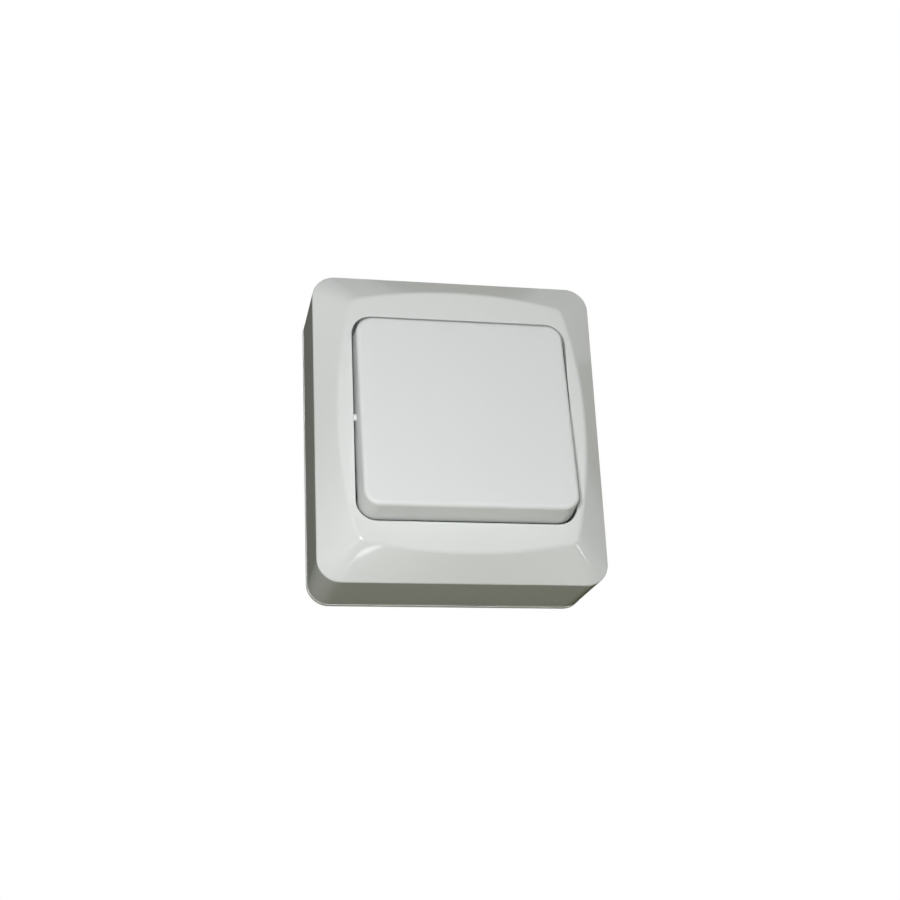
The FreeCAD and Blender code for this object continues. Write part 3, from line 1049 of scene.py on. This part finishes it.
@dataclass(frozen=True)
class Card:
    """A card that only reflections see, with one tone in its middle and another further out."""

    name: str
    half: float
    place: Triple
    middle: Triple
    outside: Triple
    fade_start: float
    fade_end: float
    lying: bool = False

    def build(self) -> None:
        """Stands the card up parallel to the wall plane, or lays it level."""
        mesh = bmesh.new()
        turn = 0.0 if self.lying else math.pi / 2
        place = Matrix.Translation(self.place) @ Matrix.Rotation(turn, 4, "X")
        bmesh.ops.create_grid(mesh, x_segments=1, y_segments=1, size=self.half, matrix=place)
        card = as_object(mesh, self.name)
        card.data.materials.append(self.material())
        card.visible_camera = False
        card.visible_diffuse = False
        card.visible_shadow = False
        card.visible_transmission = False

    def material(self) -> bpy.types.Material:
        """Builds a glow that fades from the middle tone to the outer one.

        Returns:
            The new material.
        """
        made = bpy.data.materials.new(self.name)
        made.use_nodes = True
        nodes = made.node_tree.nodes
        links = made.node_tree.links
        apart = nodes.new("ShaderNodeVectorMath")
        apart.operation = "DISTANCE"
        apart.inputs[1].default_value = self.place
        links.new(nodes.new("ShaderNodeTexCoord").outputs["Object"], apart.inputs[0])
        fade = nodes.new("ShaderNodeMapRange")
        fade.interpolation_type = "SMOOTHSTEP"
        fade.inputs["From Min"].default_value = self.fade_start
        fade.inputs["From Max"].default_value = self.fade_end
        links.new(apart.outputs["Value"], fade.inputs["Value"])
        tone = nodes.new("ShaderNodeMix")
        tone.data_type = "RGBA"
        tone.inputs["A"].default_value = (*self.middle, OPAQUE)
        tone.inputs["B"].default_value = (*self.outside, OPAQUE)
        links.new(fade.outputs["Result"], tone.inputs["Factor"])
        glow = nodes.new("ShaderNodeEmission")
        links.new(tone.outputs["Result"], glow.inputs["Color"])
        links.new(glow.outputs["Emission"], nodes["Material Output"].inputs["Surface"])
        return made


KEY_SIDE = (-0.30, -0.923, -0.242)
LAMPS = (
    Lamp("key", direction=KEY_SIDE, distance=0.5, size=0.08, power=2.16),
    Lamp("rear_fill", direction=(0.6, 0.6, 0.55), distance=1.3, size=0.8, power=15.0),
    Lamp("side_fill", direction=(0.9, -0.2, 0.5), distance=1.0, size=0.5, power=1.2),
    Lamp("left_fill", direction=(-0.97, 0.1, 0.1), distance=1.0, size=0.5, power=1.05),
    Lamp("back_key", direction=(0.2, 0.93, 0.3), distance=1.2, size=0.5, power=6.0),
    Lamp("key_glint", direction=KEY_SIDE, distance=0.5, size=0.06, power=1.1, reach=Reach.REFLECTIONS),
    Lamp(
        "left_glint",
        direction=(-0.581, -0.662, -0.474),
        distance=0.241,
        size=0.012,
        power=0.0027,
        reach=Reach.REFLECTIONS,
    ),
    Lamp(
        "low_glint",
        direction=(-0.118, -0.552, -0.826),
        distance=0.238,
        size=0.008,
        power=0.0018,
        reach=Reach.REFLECTIONS,
    ),
    Lamp(
        "right_glint",
        direction=(0.744, -0.435, -0.508),
        distance=0.144,
        size=0.009,
        power=0.0018,
        reach=Reach.REFLECTIONS,
    ),
)
CARDS = (
    Card(
        "back_card",
        half=0.95,
        place=(0, 0.28, 0),
        middle=(0.02, 0.02, 0.0),
        outside=(0.56, 0.56, 0.5),
        fade_start=0.22,
        fade_end=0.55,
    ),
    Card(
        "under_card",
        half=3.0,
        place=(0, 0, -0.55),
        middle=(0.08, 0.08, 0.05),
        outside=(0.2, 0.2, 0.18),
        fade_start=0.5,
        fade_end=2.0,
        lying=True,
    ),
)


@dataclass
class Studio:
    """White surroundings, soft lamps, a floor well below and the camera."""

    eye: Vector = field(default_factory=lambda: Vector((-93.71, -426.91, -160.08)) * MM)
    aim: Vector = field(default_factory=lambda: Vector((-1.27, -18.82, -4.05)) * MM)
    roll: float = math.radians(2.713)
    lens: float = 64.133
    sensor: float = 36.0
    centre: Vector = field(default_factory=lambda: Vector((0, -0.02, 0)))
    floor_level: float = -0.6
    floor_size: float = 14.0
    floor_tint: Triple = (0.31, 0.31, 0.235)
    floor_roughness: float = 0.9
    floor_paleness: float = 0.92
    ambient: float = 0.05
    ambient_tint: Triple = (1.0, 1.0, 0.85)

    def build(self) -> None:
        """Sets up the view, the world, the lamps, the floor and the cards."""
        scene = bpy.context.scene
        scene.view_settings.view_transform = "Standard"
        self.camera()
        self.world()
        for lamp in LAMPS:
            lamp.build(self.centre)
        self.floor()
        for card in CARDS:
            card.build()

    def camera(self) -> None:
        """Places the camera at the viewing angle."""
        data = bpy.data.cameras.new("view")
        data.sensor_width = self.sensor
        data.lens = self.lens
        camera = bpy.data.objects.new("view", data)
        bpy.context.scene.collection.objects.link(camera)
        level = (self.aim - self.eye).to_track_quat("-Z", "Y").to_matrix().to_4x4()
        camera.matrix_world = Matrix.Translation(self.eye) @ level @ Matrix.Rotation(-self.roll, 4, "Z")
        bpy.context.scene.camera = camera

    def world(self) -> None:
        """Makes surroundings that look white and light the part only faintly."""
        world = bpy.data.worlds.new("surroundings")
        world.use_nodes = True
        nodes = world.node_tree.nodes
        links = world.node_tree.links
        faint = nodes["Background"]
        faint.inputs["Color"].default_value = (*self.ambient_tint, OPAQUE)
        faint.inputs["Strength"].default_value = self.ambient
        white = nodes.new("ShaderNodeBackground")
        white.inputs["Color"].default_value = (*WHITE, OPAQUE)
        mix = nodes.new("ShaderNodeMixShader")
        links.new(self.seen(nodes, links), mix.inputs["Fac"])
        links.new(faint.outputs["Background"], mix.inputs[1])
        links.new(white.outputs["Background"], mix.inputs[2])
        links.new(mix.outputs["Shader"], nodes["World Output"].inputs["Surface"])
        bpy.context.scene.world = world

    def seen(self, nodes: bpy.types.Nodes, links: bpy.types.NodeLinks) -> bpy.types.NodeSocket:
        """Adds a value that is 1 for rays from the camera, a reflection or glass.

        Args:
            nodes: Nodes of the world or material.
            links: Links of the world or material.

        Returns:
            The socket of the value.
        """
        path = nodes.new("ShaderNodeLightPath")
        total = path.outputs["Is Camera Ray"]
        for name in ("Is Glossy Ray", "Is Transmission Ray"):
            add = nodes.new("ShaderNodeMath")
            add.operation = "MAXIMUM"
            links.new(total, add.inputs[0])
            links.new(path.outputs[name], add.inputs[1])
            total = add.outputs["Value"]
        return total

    def floor(self) -> None:
        """Lays the pale floor, which looks nearly white and still takes the part's shadow."""
        mesh = bmesh.new()
        place = Matrix.Translation((0, 0, self.floor_level))
        bmesh.ops.create_grid(mesh, x_segments=1, y_segments=1, size=self.floor_size / 2, matrix=place)
        floor = as_object(mesh, "floor")
        made = bpy.data.materials.new("pale_floor")
        made.use_nodes = True
        nodes = made.node_tree.nodes
        links = made.node_tree.links
        shader = nodes["Principled BSDF"]
        shader.inputs["Base Color"].default_value = (*self.floor_tint, OPAQUE)
        shader.inputs["Roughness"].default_value = self.floor_roughness
        glow = nodes.new("ShaderNodeEmission")
        glow.inputs["Color"].default_value = (*WHITE, OPAQUE)
        share = nodes.new("ShaderNodeMath")
        share.operation = "MULTIPLY"
        share.inputs[1].default_value = self.floor_paleness
        links.new(self.seen(nodes, links), share.inputs[0])
        mix = nodes.new("ShaderNodeMixShader")
        links.new(share.outputs["Value"], mix.inputs["Fac"])
        links.new(shader.outputs["BSDF"], mix.inputs[1])
        links.new(glow.outputs["Emission"], mix.inputs[2])
        links.new(mix.outputs["Shader"], nodes["Material Output"].inputs["Surface"])
        floor.data.materials.append(made)


def main() -> None:
    """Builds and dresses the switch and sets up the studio."""
    logging.basicConfig(level=logging.INFO, format="%(name)s %(message)s")
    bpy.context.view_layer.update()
    cover = Cover()
    cover.dress(cover.build())
    button = PushButton()
    button.dress(button.build())
    plate = WallPlate()
    plate.dress(plate.build())
    spring = ReturnSpring()
    spring.dress(spring.build())
    Mechanism().dress()
    Studio().build()


if __name__ == "__main__":
    main()
